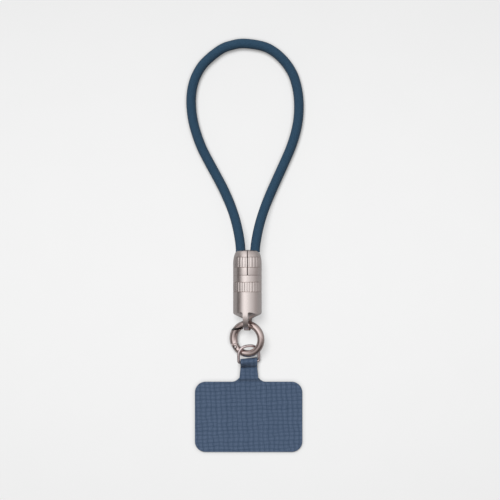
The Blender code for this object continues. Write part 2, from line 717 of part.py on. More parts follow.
def phone_tab(look):
    """The T-shaped sheet: a flat plate, and a neck that wraps the bar and returns beneath."""
    flat = TAB_THICKNESS / 2
    rows = len(neck_path(D_X))
    grid = []
    for row in range(rows):
        reach = neck_half_width(neck_path(D_X)[row][0] - y_plate)
        line = []
        for column in range(TAB_COLUMNS + 1):
            across = D_X + reach * (2 * column / TAB_COLUMNS - 1)
            y, z = neck_path(across)[row]
            line.append(Vector((across, y, z)))
        grid.append(line)
    points = [point for line in grid for point in line]
    width = TAB_COLUMNS + 1
    faces = [(row * width + i, row * width + i + 1, (row + 1) * width + i + 1, (row + 1) * width + i)
             for row in range(rows - 1) for i in range(TAB_COLUMNS)]
    first = len(points)
    outline = plate_outline()
    points += [Vector((x, y, flat)) for x, y in outline]
    right = list(range(first, first + len(outline)))
    points += [Vector((-x, y, flat)) for x, y in outline]
    left = list(range(first + len(outline), first + 2 * len(outline)))
    faces.append(tuple(right + list(reversed(range(width))) + list(reversed(left))))
    tab = add_piece("phone_tab", points, faces, look)
    sheet = tab.modifiers.new("thickness", "SOLIDIFY")
    sheet.thickness = TAB_THICKNESS
    sheet.offset = 0.0
    sheet.use_even_offset = True
    return tab


def build():
    """Make every piece of the lanyard."""
    clear_scene()
    cable_look = material("slate_blue_cable", (0.035, 0.075, 0.13), 0.75, 0.0)
    grip_look = material("champagne_grip", (0.62, 0.55, 0.53), 0.28, 1.0)
    body_look = material("champagne_body", (0.62, 0.55, 0.53), 0.28, 1.0)
    shell_look = material("plug_steel", (0.66, 0.66, 0.67), 0.25, 1.0)
    ring_look = material("rose_gunmetal", (0.42, 0.34, 0.33), 0.15, 1.0)
    gate_look = material("rose_gunmetal_gate", (0.45, 0.37, 0.36), 0.15, 1.0)
    pin_look = material("rivet_steel", (0.6, 0.55, 0.54), 0.2, 1.0)
    d_look = material("champagne_wire", (0.56, 0.49, 0.48), 0.3, 1.0)
    tab_look = material("slate_canvas", (0.07, 0.105, 0.165), 0.85, 0.0)

    charging_cable(cable_look)
    plug_grip("plug_grip_left", -1, CABLE_LEFT_OFFSET, grip_look)
    plug_grip("plug_grip_right", 1, CABLE_RIGHT_OFFSET, grip_look)
    usb_plug("usb_plug_left", -1, shell_look)
    usb_plug("usb_plug_right", 1, shell_look)
    capsule_body(body_look)
    spring_ring(ring_look)
    ring_gate(gate_look)
    gate_pin(pin_look)
    d_ring(d_look)
    phone_tab(tab_look)


build()
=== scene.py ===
"""Looks of a charging cable lanyard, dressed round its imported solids. Metres, +Z up.

The sections follow the lanyard as it is put together: the cable, the grips and plugs at its ends,
the capsule they push into, the sprung ring and its gate, the D-ring and the woven phone tab.
"""
import math

import bmesh
import bpy
import numpy as np
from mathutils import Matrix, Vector


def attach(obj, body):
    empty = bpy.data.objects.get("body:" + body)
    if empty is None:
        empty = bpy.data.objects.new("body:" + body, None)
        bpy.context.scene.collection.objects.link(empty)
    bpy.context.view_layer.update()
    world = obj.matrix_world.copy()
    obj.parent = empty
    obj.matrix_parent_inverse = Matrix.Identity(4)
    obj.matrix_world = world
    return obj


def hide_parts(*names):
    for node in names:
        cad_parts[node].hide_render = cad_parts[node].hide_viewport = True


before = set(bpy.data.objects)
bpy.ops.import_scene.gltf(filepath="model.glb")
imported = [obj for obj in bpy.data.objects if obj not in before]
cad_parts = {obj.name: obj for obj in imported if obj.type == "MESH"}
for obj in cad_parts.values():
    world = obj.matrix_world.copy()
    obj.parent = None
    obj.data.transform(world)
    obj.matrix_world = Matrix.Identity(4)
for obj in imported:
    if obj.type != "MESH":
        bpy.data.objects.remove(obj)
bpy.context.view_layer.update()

MM = 0.001


# Camera. The lanyard lies on a table and is seen from straight above, with the loop at the top.
# The lens takes in 270 mm of the table from 1.2 m up, which gives a catalogue shot's flat view.
CAMERA_HEIGHT = 1.2
VIEW_WIDTH = 0.27035
VIEW_CENTRE = (0.00076, 0.05456)
SENSOR_WIDTH = 36.0
NEAREST, FARTHEST = 0.01, 20.0

camera_data = bpy.data.cameras.new("camera")
camera_data.sensor_width = SENSOR_WIDTH
camera_data.lens = SENSOR_WIDTH * CAMERA_HEIGHT / VIEW_WIDTH
camera_data.clip_start, camera_data.clip_end = NEAREST, FARTHEST
camera = bpy.data.objects.new("camera", camera_data)
camera.location = (*VIEW_CENTRE, CAMERA_HEIGHT)
bpy.context.scene.collection.objects.link(camera)
bpy.context.scene.camera = camera


# Charging cable. A round lead in a tight textile braid, both of its ends moulded into plug grips.
# It leaves the grips level, sinks to the table within 34 mm and lies on it in one open loop.
CABLE_RADIUS = 2.6 * MM
GRIP_TOP = 54.541 * MM
CAPSULE_AXIS = (-0.65 * MM, 7.65 * MM)
CABLE_SEAT_DEPTH = 1.2 * MM
CABLE_OFFSETS = (-3.65 * MM, 4.15 * MM)
CABLE_LEAST_RISE = 0.3 * MM
CABLE_SINK = 34.0 * MM
CABLE_STEP = 0.75 * MM
CABLE_SIDES = 56
BRAID_YARNS = 30
BRAID_UNEVENNESS = 0.1
BRAID_RELIEF = 0.06 * MM
BRAID_SHADOW = (0.010, 0.026, 0.048)
BRAID_COLOURS = ((0.024, 0.062, 0.108), (0.046, 0.098, 0.160))
BRAID_TONE = 0.35
FIBRE_SCALE = 2.4
FORMED_EDGE = math.radians(35.0)
CABLE_ROUTE = np.array([
    (-4.6, 4.0), (-5.7, 10.5), (-7.3, 17.0), (-9.5, 23.5), (-12.25, 30.0), (-15.4, 36.45),
    (-22.4, 49.4), (-25.6, 55.9), (-28.0, 62.4), (-29.8, 68.9), (-30.8, 75.4), (-31.0, 81.9),
    (-30.15, 88.4), (-27.85, 94.9), (-23.5, 101.3), (-15.2, 108.1), (-8.7, 110.6), (-2.2, 111.45),
    (7.5, 110.0), (14.0, 106.8), (19.8, 101.3), (23.85, 94.9), (25.95, 88.4), (26.95, 81.9),
    (27.1, 75.4), (26.5, 68.9), (25.1, 62.4), (23.0, 55.9), (20.3, 49.4), (14.45, 36.45),
    (11.6, 30.0), (9.0, 23.5), (6.8, 17.0), (5.1, 10.5), (3.9, 4.0),
]) * MM


def unit(vectors):
    """Vectors divided by their own lengths."""
    return vectors / np.linalg.norm(vectors, axis=-1, keepdims=True)


def points_of(*coordinates):
    """A grid of points from coordinates that spread over the same rows and columns."""
    return np.stack(np.broadcast_arrays(*coordinates), axis=-1)


def ease(share):
    """A smooth step: three times the share squared less twice its cube, between 0 and 1."""
    share = np.clip(share, 0.0, 1.0)
    return share * share * (3 - 2 * share)


def curve_through(points, per_span=16):
    """A Catmull-Rom curve: from b to c a cubic whose end slopes are (c - a) / 2 and (d - b) / 2."""
    ends = np.vstack([2 * points[0] - points[1], points, 2 * points[-1] - points[-2]])
    a, b, c, d = (ends[i:len(ends) - 3 + i, None, :] for i in range(4))
    t = np.linspace(0.0, 1.0, per_span, endpoint=False)[None, :, None]
    spans = 0.5 * (2 * b + (c - a) * t + (2 * a - 5 * b + 4 * c - d) * t ** 2
                   + (3 * b - a - 3 * c + d) * t ** 3)
    return np.vstack([spans.reshape(-1, points.shape[1]), points[-1:]])


def spaced_evenly(path, step):
    """The same path with its points one step apart, measured along it."""
    walked = np.append(0.0, np.cumsum(np.linalg.norm(np.diff(path, axis=0), axis=1)))
    stops = np.linspace(0.0, walked[-1], round(walked[-1] / step) + 1)
    return np.stack([np.interp(stops, walked, path[:, k]) for k in range(path.shape[1])], axis=1)


def tube(path, radius, sides, closed=False):
    """A round tube's grid: each path point plus the radius times the cosine of a turn to the side
    and its sine upwards, both square to the way the path runs."""
    if closed:
        forward = unit(np.roll(path, -1, axis=0) - np.roll(path, 1, axis=0))
    else:
        forward = unit(np.gradient(path, axis=0))
    side = unit(np.cross(forward, (0.0, 0.0, 1.0)))
    up = np.cross(side, forward)
    turn = np.linspace(0.0, 2 * np.pi, sides, endpoint=False)[None, :, None]
    reach = np.broadcast_to(radius, len(path))[:, None, None]
    return path[:, None] + reach * (np.cos(turn) * side[:, None] + np.sin(turn) * up[:, None])


def skin(name, grid, look, closed_rows=False, closed_columns=True, uv=None):
    """A mesh over a grid of points. Each four neighbours make a face, a closed direction joins its
    last points to its first, and open ends of a tube get a flat cap. The faces are turned so that
    the volume they enclose counts as positive. uv has one more row or column where it is closed."""
    rows, columns = grid.shape[:2]
    i, j = np.indices((rows - (not closed_rows), columns - (not closed_columns)))
    across = np.stack([i, i + 1, i + 1, i], axis=-1).reshape(-1, 4)
    along = np.stack([j, j, j + 1, j + 1], axis=-1).reshape(-1, 4)
    index = (across % rows) * columns + along % columns
    points = grid.reshape(-1, 3)
    a, b, c, d = (points[index[:, k]] - points.mean(axis=0) for k in range(4))
    inward = np.einsum("ij,ij", a, np.cross(b, c) + np.cross(c, d)) < 0
    flip = slice(None, None, -1) if inward else slice(None)
    caps = []
    if closed_columns and not closed_rows:
        caps = [np.arange(columns), rows * columns - 1 - np.arange(columns)]
    faces = index[:, flip].tolist() + [cap[flip].tolist() for cap in caps]
    mesh = bpy.data.meshes.new(name)
    mesh.from_pydata(points.tolist(), [], faces)
    if uv is not None:
        corners = uv[across, along][:, flip].reshape(-1, 2)
        spare = np.zeros((sum(len(cap) for cap in caps), 2))
        layer = mesh.uv_layers.new(name="UVMap")
        layer.data.foreach_set("uv", np.vstack([corners, spare]).astype(np.float32).ravel())
    mesh.shade_smooth()
    mesh.set_sharp_from_angle(angle=FORMED_EDGE)
    mesh.materials.append(look)
    piece = bpy.data.objects.new(name, mesh)
    bpy.context.scene.collection.objects.link(piece)
    return piece


def node(tree, kind, *inputs, **settings):
    """Adds a node. Each input is a value or another node's output, in the order of its sockets."""
    made = tree.nodes.new("ShaderNode" + kind)
    for setting, value in settings.items():
        setattr(made, setting, value)
    for socket, value in zip(made.inputs, inputs):
        if isinstance(value, bpy.types.NodeSocket):
            tree.links.new(value, socket)
        elif value is not None:
            socket.default_value = value
    return made


def maths(tree, operation, *inputs):
    """The result of one Math node."""
    return node(tree, "Math", *inputs, operation=operation).outputs[0]


def noise(tree, place, scale, detail, roughness=0.5):
    """The value of a cloudy pattern whose clouds are about one over the scale across."""
    return node(tree, "TexNoise", place, None, scale, detail, roughness).outputs[0]


def colour_between(tree, share, low, high):
    """The colour that lies a share of the way from a low one to a high one."""
    mix = node(tree, "Mix", data_type="RGBA")
    for socket, value in ((mix.inputs[0], share), (mix.inputs[6], low), (mix.inputs[7], high)):
        if isinstance(value, bpy.types.NodeSocket):
            tree.links.new(value, socket)
        else:
            socket.default_value = value if isinstance(value, float) else (*value, 1.0)
    return mix.outputs[2]


def effect(name, inputs, outputs):
    """A node group with named sockets: inputs are vectors or values, and outputs are values."""
    tree = bpy.data.node_groups.new(name, "ShaderNodeTree")
    for label, value in inputs.items():
        kind = "NodeSocketVector" if value is None else "NodeSocketFloat"
        socket = tree.interface.new_socket(label, in_out="INPUT", socket_type=kind)
        if value is not None:
            socket.default_value = value
    for label in outputs:
        tree.interface.new_socket(label, in_out="OUTPUT", socket_type="NodeSocketFloat")
    return tree, tree.nodes.new("NodeGroupInput"), tree.nodes.new("NodeGroupOutput")


def use(tree, group, *inputs):
    """Places an effect in a material and gives the node, with its own values in its sockets."""
    made = tree.nodes.new("ShaderNodeGroup")
    made.node_tree = group
    for socket, value in zip(made.inputs, inputs):
        if isinstance(value, bpy.types.NodeSocket):
            tree.links.new(value, socket)
        else:
            socket.default_value = value
    return made


def finish_of(name, roughness, metallic=0.0, **sockets):
    """A new Principled material: its node tree and its shader, with the plain sockets set."""
    made = bpy.data.materials.new(name)
    made.use_nodes = True
    shader = made.node_tree.nodes["Principled BSDF"]
    shader.inputs["Roughness"].default_value = roughness
    shader.inputs["Metallic"].default_value = metallic
    for label, value in sockets.items():
        shader.inputs[label.replace("_", " ")].default_value = value
    return made, made.node_tree, shader


def wire(tree, shader, **sources):
    """Links node outputs to the shader's sockets of those names."""
    for label, source in sources.items():
        tree.links.new(source, shader.inputs[label.replace("_", " ")])


def bump(tree, height, depth, strength=1.0):
    """A normal that makes a height pattern stand out by a depth in metres."""
    return node(tree, "Bump", strength, depth, None, height).outputs[0]


# Over-and-under yarns, for the cable's braid and the tab's canvas. A place is counted in yarns both
# ways; each yarn's back is the sine of its width to a power, highest where it lies on top.
BACK_POWER = 0.6
BACK_DIP = 0.4
WOBBLE_SCALE = 0.35
SECOND_SET = 57.3

yarns, taken, given = effect("over_and_under_yarns", {"Place": None, "Unevenness": 0.15},
                             ["Height", "Tone"])
wobble = maths(yarns, "SUBTRACT", noise(yarns, taken.outputs["Place"], WOBBLE_SCALE, 2.0), 0.5)
drift = maths(yarns, "MULTIPLY", wobble, taken.outputs["Unevenness"])
split = node(yarns, "SeparateXYZ", taken.outputs["Place"])
counts = [maths(yarns, "ADD", split.outputs[k], drift) for k in range(2)]
numbers = [maths(yarns, "FLOOR", count) for count in counts]
on_top = maths(yarns, "FLOORED_MODULO", maths(yarns, "ADD", *numbers), 2.0)
waves = [maths(yarns, "ABSOLUTE", maths(yarns, "SINE", maths(yarns, "MULTIPLY", count, math.pi)))
         for count in counts]
backs = [maths(yarns, "MULTIPLY", maths(yarns, "POWER", waves[k], BACK_POWER),
               maths(yarns, "MULTIPLY_ADD", waves[1 - k], BACK_DIP, 1 - BACK_DIP))
         for k in range(2)]
under = maths(yarns, "SUBTRACT", 1.0, on_top)
height = maths(yarns, "MULTIPLY_ADD", backs[0], on_top, maths(yarns, "MULTIPLY", backs[1], under))
yarns.links.new(height, given.inputs["Height"])
number = maths(yarns, "MULTIPLY_ADD", numbers[0], on_top,
               maths(yarns, "MULTIPLY", maths(yarns, "ADD", numbers[1], SECOND_SET), under))
tone = node(yarns, "TexWhiteNoise", None, number, noise_dimensions="1D").outputs[0]
yarns.links.new(tone, given.inputs["Tone"])


def woven_colour(tree, height, darkening, shadow, thread):
    """A thread's colour, nearer to a shadow's by the darkening times the height that it lacks."""
    lit = maths(tree, "MULTIPLY_ADD", height, darkening, 1 - darkening)
    return colour_between(tree, lit, shadow, thread)


braid_look, tree, shader = finish_of("braided_cable", 0.85, Sheen_Weight=0.12, Sheen_Roughness=0.4,
                                     Specular_IOR_Level=0.3)
place = node(tree, "UVMap", uv_map="UVMap").outputs[0]
split = node(tree, "SeparateXYZ", place)
rising = maths(tree, "ADD", split.outputs[0], split.outputs[1])
falling = maths(tree, "SUBTRACT", split.outputs[0], split.outputs[1])
braid = use(tree, yarns, node(tree, "CombineXYZ", rising, falling).outputs[0], BRAID_UNEVENNESS)
height = braid.outputs["Height"]
fibre = noise(tree, place, FIBRE_SCALE, 3.0, 0.6)
shade = maths(tree, "MULTIPLY_ADD", braid.outputs["Tone"], BRAID_TONE,
              maths(tree, "MULTIPLY", fibre, 1 - BRAID_TONE))
thread = colour_between(tree, shade, *BRAID_COLOURS)
wire(tree, shader, Base_Color=woven_colour(tree, height, 0.5, BRAID_SHADOW, thread),
     Normal=bump(tree, height, BRAID_RELIEF, 0.8))

mouths = [np.array([(CAPSULE_AXIS[0] + offset, CABLE_LEAST_RISE)]) for offset in CABLE_OFFSETS]
route = curve_through(np.vstack([mouths[0], CABLE_ROUTE, mouths[1]]))
seats = [mouth - (0.0, CABLE_LEAST_RISE + CABLE_SEAT_DEPTH) for mouth in mouths]
route = np.vstack([seats[0], route, seats[1]])
sunk = ease(route[:, 1] / CABLE_SINK)
heights = CAPSULE_AXIS[1] + (CABLE_RADIUS - CAPSULE_AXIS[1]) * sunk
cable_path = np.column_stack([route[:, 0], route[:, 1] + GRIP_TOP, heights])
cable_path = spaced_evenly(cable_path, CABLE_STEP)
cable_length = np.linalg.norm(np.diff(cable_path, axis=0), axis=1).sum()
yarns_along = round(cable_length / (2 * math.pi * CABLE_RADIUS) * BRAID_YARNS)
cable_uv = points_of(np.linspace(0, BRAID_YARNS, CABLE_SIDES + 1),
                     np.linspace(0, yarns_along, len(cable_path))[:, None])
cable = skin("textile_cable", tube(cable_path, CABLE_RADIUS, CABLE_SIDES), braid_look, uv=cable_uv)
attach(cable, "cable")
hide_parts("charging_cable")


# Plug grips. Two turned and knurled half shells of champagne anodised metal, split down the middle.
# Each is pressed over one end of the cable and carries that end's plug, so they pull out together.
CAPSULE_RADIUS = 7.65 * MM
PARTING = 41.091 * MM
PARTING_GAP = 0.02 * MM
GRIP_LENGTH = 13.45 * MM
GRIP_KNURL = (4.05 * MM, 9.85 * MM)
GRIP_FLUTES = 12
SHOULDER_LENGTH = 7.5 * MM
SHOULDER_DEPTH = 2.8 * MM
SPLIT_HALF = 0.2 * MM
SPLIT_DEPTH = 2.0 * MM
SPLIT_EDGE = 0.1 * MM
FLUTE_DEPTH = 0.15 * MM
FLUTE_SHARE = 0.5
NOTCH_DEPTH = 0.22 * MM
NOTCH_WIDTH = 0.3 * MM
TURNED_EDGE = 0.12 * MM
SEAT_CLEARANCE = 0.3 * MM
SEAT_HALF = 1.5 * MM
PER_FLUTE = 10
CUT_EDGE = math.radians(24.0)
NOTCH_ROWS = 9
KNURL_ROWS = 12
LATHE_LINES = 9000.0
LATHE_RELIEF = 0.004 * MM
SATIN = 0.20
SATIN_SPREAD = 0.10
GRIP_COLOURS = ((0.76, 0.69, 0.67), (0.66, 0.59, 0.57))

# Fine lathe lines round a turned part: noise that is stretched round the axis and tight along it,
# and a slow cloud that stands for handling.
LINES_ROUND = 90.0
HANDLING_SCALE = 260.0

turned, taken, given = effect("lathe_lines", {"Place": None, "Lines per metre": LATHE_LINES},
                              ["Height", "Cloud"])
split = node(turned, "SeparateXYZ", taken.outputs["Place"])
stretches = (LINES_ROUND, taken.outputs["Lines per metre"], LINES_ROUND)
stretched = [maths(turned, "MULTIPLY", split.outputs[k], stretches[k]) for k in range(3)]
lines = noise(turned, node(turned, "CombineXYZ", *stretched).outputs[0], 1.0, 2.0, 0.6)
turned.links.new(lines, given.inputs["Height"])
handling = noise(turned, taken.outputs["Place"], HANDLING_SCALE, 4.0, 0.6)
turned.links.new(handling, given.inputs["Cloud"])


def champagne(name, pale, deep):
    """Champagne anodised metal, satin, with lathe lines round its axis."""
    made, tree, shader = finish_of(name, SATIN + SATIN_SPREAD, 1.0)
    lines = use(tree, turned, node(tree, "TexCoord").outputs["Object"], LATHE_LINES)
    height, cloud = lines.outputs["Height"], lines.outputs["Cloud"]
    rough = maths(tree, "MULTIPLY_ADD", height, SATIN_SPREAD,
                  maths(tree, "MULTIPLY_ADD", cloud, SATIN_SPREAD, SATIN))
    wire(tree, shader, Base_Color=colour_between(tree, cloud, deep, pale), Roughness=rough,
         Normal=bump(tree, height, LATHE_RELIEF, 0.7))
    return made


def notch(station, at):
    """A V groove's depth: full at its middle and falling to nothing half its width away."""
    return NOTCH_DEPTH * np.clip(1 - np.abs(station - at) / (NOTCH_WIDTH / 2), 0.0, 1.0)


def band(station, low, high):
    """1 between two stations and 0 beyond them, with a short ramp at each end."""
    ramp = NOTCH_WIDTH / 2
    return np.clip((np.minimum(station - low, high - station) - ramp) / ramp, 0, 1)


def fluting(count):
    """The depth of round flutes as a share, 0 on the lands between them: a flute's share of each
    count round the part holds half a cosine wave."""
    return (1 + np.cos(2 * np.pi * np.clip(np.abs(count % 1.0 - 0.5) / FLUTE_SHARE, 0, 0.5))) / 2


def knurled(radius, station, count, low, high):
    """The radii of a turned part with a knurled band between two stations: a V notch just inside
    each end of the band, and flutes counted round it. Rows are stations and columns are counts."""
    notches = notch(station, low + NOTCH_WIDTH / 2) + notch(station, high - NOTCH_WIDTH / 2)
    flutes = FLUTE_DEPTH * fluting(count) * band(station, low, high)[:, None]
    return (radius - notches)[:, None] - flutes


def knurl_stations(low, high):
    """Stations over a knurled band, close together in its two notches."""
    inner = (low + NOTCH_WIDTH, high - NOTCH_WIDTH)
    return np.concatenate([np.linspace(low, inner[0], NOTCH_ROWS), np.linspace(*inner, KNURL_ROWS),
                           np.linspace(inner[1], high, NOTCH_ROWS)])


def rising_once(*runs):
    """Runs of stations along a turned part as one rising row, each station once."""
    return np.unique(np.round(np.concatenate(runs), 8))


def quarter_round(depth, share):
    """A quarter ellipse's drop: its depth times one less the root of one less the share squared."""
    return depth * (1 - np.sqrt(1 - share ** 2))


def applied(piece):
    """The piece with its modifiers made part of its mesh, and its sharp edges marked again."""
    graph = bpy.context.evaluated_depsgraph_get()
    mesh = bpy.data.meshes.new_from_object(piece.evaluated_get(graph), depsgraph=graph)
    piece.modifiers.clear()
    piece.data = mesh
    mesh.shade_smooth()
    mesh.set_sharp_from_angle(angle=CUT_EDGE)
    return piece


def combined(piece, helper, operation):
    """The piece joined with, or cut by, a helper solid that is then thrown away."""
    step = piece.modifiers.new(operation.lower(), "BOOLEAN")
    step.operation, step.object, step.solver = operation, helper, "EXACT"
    applied(piece)
    bpy.data.objects.remove(helper, do_unlink=True)
    return piece


def moved(grid, origin, axes=np.eye(3)):
    """A grid turned to three axes, given as rows, and set at an origin."""
    return grid @ np.asarray(axes) + np.asarray(origin)


def lathe(reach, station, sides=64):
    """A grid of a profile turned round the second axis: each row is a circle of its own reach."""
    turn = np.linspace(0, 2 * np.pi, sides, endpoint=False)
    reach, station = (np.asarray(line)[:, None] for line in (reach, station))
    return points_of(reach * np.cos(turn), station, reach * np.sin(turn))


def rod(radius, low, high, sides=64):
    """A grid of a rod along its second axis, from low to high."""
    return lathe([radius, radius], [low, high], sides)


def half_shell(side):
    """A half shell's grid. Its rows climb from the parting plane: the radius is the capsule's, less
    a quarter ellipse over the shoulder, a rounded edge and the knurled band. A row is the arc and
    then the flat side, which the split's narrow V enters from both ends."""
    bend = GRIP_LENGTH - SHOULDER_LENGTH * np.cos(np.linspace(0, np.pi / 2, 26))
    station = rising_once(np.linspace(PARTING_GAP, PARTING_GAP + TURNED_EDGE, 5),
                          knurl_stations(*GRIP_KNURL), bend[bend > GRIP_KNURL[1]])
    shoulder = np.clip((station - GRIP_LENGTH + SHOULDER_LENGTH) / SHOULDER_LENGTH, 0, 1)
    edge = np.clip(1 - (station - PARTING_GAP) / TURNED_EDGE, 0, 1)
    rounding = quarter_round(SHOULDER_DEPTH, shoulder) + quarter_round(TURNED_EDGE, edge)
    count = np.linspace(0, GRIP_FLUTES, GRIP_FLUTES * PER_FLUTE + 1)[None]
    here = knurled(CAPSULE_RADIUS - rounding, station, count, *GRIP_KNURL)
    outer = SPLIT_HALF + SPLIT_EDGE
    angle = np.arccos(outer / here) * (2 * count / GRIP_FLUTES - 1)
    arc = points_of(here * np.cos(angle), here * np.sin(angle))
    mouth = np.sqrt(here[:, -1:] ** 2 - outer ** 2) - SPLIT_EDGE
    flat = np.concatenate([mouth, mouth - SPLIT_DEPTH, SPLIT_DEPTH - mouth, -mouth], axis=1)
    inner = np.array([SPLIT_HALF, PARTING_GAP / 2, PARTING_GAP / 2, SPLIT_HALF])
    section = np.concatenate([arc, points_of(inner, flat)], axis=1)
    return points_of(side * section[..., 0], station[:, None], section[..., 1])


capsule_origin = (CAPSULE_AXIS[0], PARTING, CAPSULE_AXIS[1])
grip_look = champagne("champagne_grip", *GRIP_COLOURS)
for label, side, offset in (("left", -1, CABLE_OFFSETS[0]), ("right", 1, CABLE_OFFSETS[1])):
    grip = skin("grip_shell_" + label, moved(half_shell(side), capsule_origin), grip_look)
    seat = rod(CABLE_RADIUS + SEAT_CLEARANCE, GRIP_LENGTH - SEAT_HALF, GRIP_LENGTH + SEAT_HALF)
    seat = skin("seat_" + label, moved(seat + (offset, 0, 0), capsule_origin), grip_look)
    combined(grip, seat, "DIFFERENCE")
    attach(grip, "cable")
    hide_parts("plug_grip_" + label)


# Plugs. Deep-drawn steel shells, flat tubes with a rolled lip and an open mouth, set on edge.
# Each is pressed into its grip, and the pair slides into two slots in the capsule.
PLUG_SIZE = (8.34 * MM, 2.56 * MM)
PLUG_LENGTH = 6.65 * MM
PLUG_WALL = 0.35 * MM
PLUG_MOUTH = 5.2 * MM
PLUG_ROOT = 1.2 * MM
PLUG_OFFSET = 4.0 * MM
STEEL_COLOURS = ((0.55, 0.55, 0.56), (0.70, 0.70, 0.71))
DRAWING_LINES = 4000.0

steel_look, tree, shader = finish_of("plug_steel", 0.25, 1.0)
rub = use(tree, turned, node(tree, "TexCoord").outputs["Object"], DRAWING_LINES).outputs["Cloud"]
wire(tree, shader, Base_Color=colour_between(tree, rub, *STEEL_COLOURS),
     Roughness=maths(tree, "MULTIPLY_ADD", rub, 0.16, 0.14))


def flat_tube(inset, station, size, steps=14):
    """A grid of round-ended flat sections, each the outline moved in by an inset, at a station."""
    half_circle = np.linspace(0, np.pi, steps)
    turn = np.concatenate([half_circle, half_circle + np.pi])
    centre = np.repeat([1.0, -1.0], steps) * (size[0] - size[1]) / 2
    radius, along = size[1] / 2 - np.asarray(inset)[:, None], np.asarray(station)[:, None]
    return points_of(radius * np.cos(turn), along, centre + radius * np.sin(turn))


lip = np.linspace(0, np.pi, 9)
plug_inset = np.concatenate([[0.0], PLUG_WALL / 2 * (1 - np.cos(lip)), [PLUG_WALL]])
plug_station = np.concatenate([[PLUG_ROOT], -PLUG_LENGTH + PLUG_WALL / 2 * (1 - np.sin(lip)),
                               [PLUG_MOUTH - PLUG_LENGTH]])
for label, side in (("left", -1), ("right", 1)):
    shell = flat_tube(plug_inset, plug_station, PLUG_SIZE) + (side * PLUG_OFFSET, 0, 0)
    plug = skin("plug_shell_" + label, moved(shell, capsule_origin), steel_look)
    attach(plug, "cable")
    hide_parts("usb_plug_" + label)


# Capsule. One turned piece of the same champagne metal: a plain collar, a knurled band and a plain
# barrel. Its end is milled to a rounded nose, a flat tongue between two sloping cheeks, and the eye
# for the ring is cut through the tongue.
BODY_LENGTH = 19.65 * MM
BODY_KNURL = (3.55 * MM, 9.05 * MM)
BODY_FLUTES = 30
COLLAR_EDGE = 0.15 * MM
SOCKET_SPARE = 0.3 * MM
SOCKET_DEPTH = 7.25 * MM
EYE_STATION = 14.941 * MM
EYE_RADIUS = 2.9 * MM
EYE_STRETCH = 2.0 * MM
EYE_EDGE = 0.25 * MM
TONGUE_REACH = 10.15 * MM
TONGUE_HALF = 1.35 * MM
TONGUE_ROLL = math.radians(9.0)
TONGUE_POWER = 2.3
TONGUE_FILLET = 1.0 * MM
CHEEK_DROP = 4.8 * MM
CHEEK_SLOPE = math.radians(25.6)
CHEEK_DEPTH = 9.0 * MM
CHEEK_HALF_HEIGHT = 8.25 * MM
CHEEK_POWER = 2.6
CHEEK_EDGE = 1.2 * MM
MILLING_SPARE = 0.3 * MM
CAPSULE_COLOURS = ((0.76, 0.69, 0.67), (0.68, 0.61, 0.59))


def turned_body():
    """The body's grid. Its rows go down from the parting plane: a collar edge at 45 degrees, the
    barrel's radius with its knurled band, and on past the end that is milled off later."""
    nose_end = BODY_LENGTH + TONGUE_REACH
    station = rising_once([0.0, COLLAR_EDGE, BODY_KNURL[0] - NOTCH_WIDTH],
                          knurl_stations(*BODY_KNURL),
                          np.linspace(BODY_LENGTH - CHEEK_DROP, nose_end, 50),
                          [nose_end + CAPSULE_RADIUS])
    radius = CAPSULE_RADIUS - COLLAR_EDGE * np.clip(1 - station / COLLAR_EDGE, 0, 1)
    count = np.linspace(0, BODY_FLUTES, BODY_FLUTES * PER_FLUTE, endpoint=False)[None]
    here = knurled(radius, station, count, *BODY_KNURL)
    turn = 2 * np.pi * count / BODY_FLUTES
    return points_of(here * np.cos(turn), -station[:, None], here * np.sin(turn))


def nose():
    """The grid of the block that the body is milled to. Across the tongue, its lower face is a
    cheek, the tongue's end and the other cheek. Seen from the side both are blunt ellipses: the
    powers of the height's and the depth's shares add up to one. A cheek falls in a straight line
    towards the tongue, meets it in a round fillet, and is rounded up to the barrel outside."""
    turn = np.linspace(0, np.pi / 2, 40)
    wide = CAPSULE_RADIUS + MILLING_SPARE
    across = np.append(CAPSULE_RADIUS * np.sin(turn) ** (2 / TONGUE_POWER), wide)
    end = np.append(-TONGUE_REACH * np.abs(np.cos(turn)) ** (2 / TONGUE_POWER), 0.0)
    across = np.concatenate([-across[:0:-1], across])[:, None]
    end = np.concatenate([end[:0:-1], end])[:, None]
    bend = TONGUE_HALF + TONGUE_FILLET * (1 - np.cos(np.linspace(0, np.pi / 2, 9)))
    rim = CAPSULE_RADIUS - CHEEK_EDGE * (1 - np.sin(np.linspace(0, np.pi / 2, 10)))
    reach = np.concatenate([bend, np.linspace(bend[-1], rim[0], 12)[1:-1], rim, [wide]])[None]
    share = np.minimum(np.abs(across), CAPSULE_RADIUS) / CHEEK_HALF_HEIGHT
    curl = CHEEK_DEPTH * (1 - (1 - share ** CHEEK_POWER) ** (1 / CHEEK_POWER))
    corner = np.clip((TONGUE_HALF + TONGUE_FILLET - reach) / TONGUE_FILLET, 0, 1)
    beyond = np.clip((reach - CAPSULE_RADIUS + CHEEK_EDGE) / CHEEK_EDGE, 0, 1)
    rounding = quarter_round(CHEEK_EDGE, beyond) - quarter_round(TONGUE_FILLET, corner)
    cheek = curl + math.tan(CHEEK_SLOPE) * reach + rounding - CHEEK_DROP
    top = np.full_like(end, BODY_LENGTH + MILLING_SPARE)
    flats = [[-TONGUE_HALF, TONGUE_HALF]]
    x = np.concatenate([-reach[:, ::-1], flats, reach, [[wide, -wide]]], axis=1)
    y = np.concatenate([cheek[:, ::-1], end, end, cheek, top, top], axis=1)
    return points_of(x, y, across)


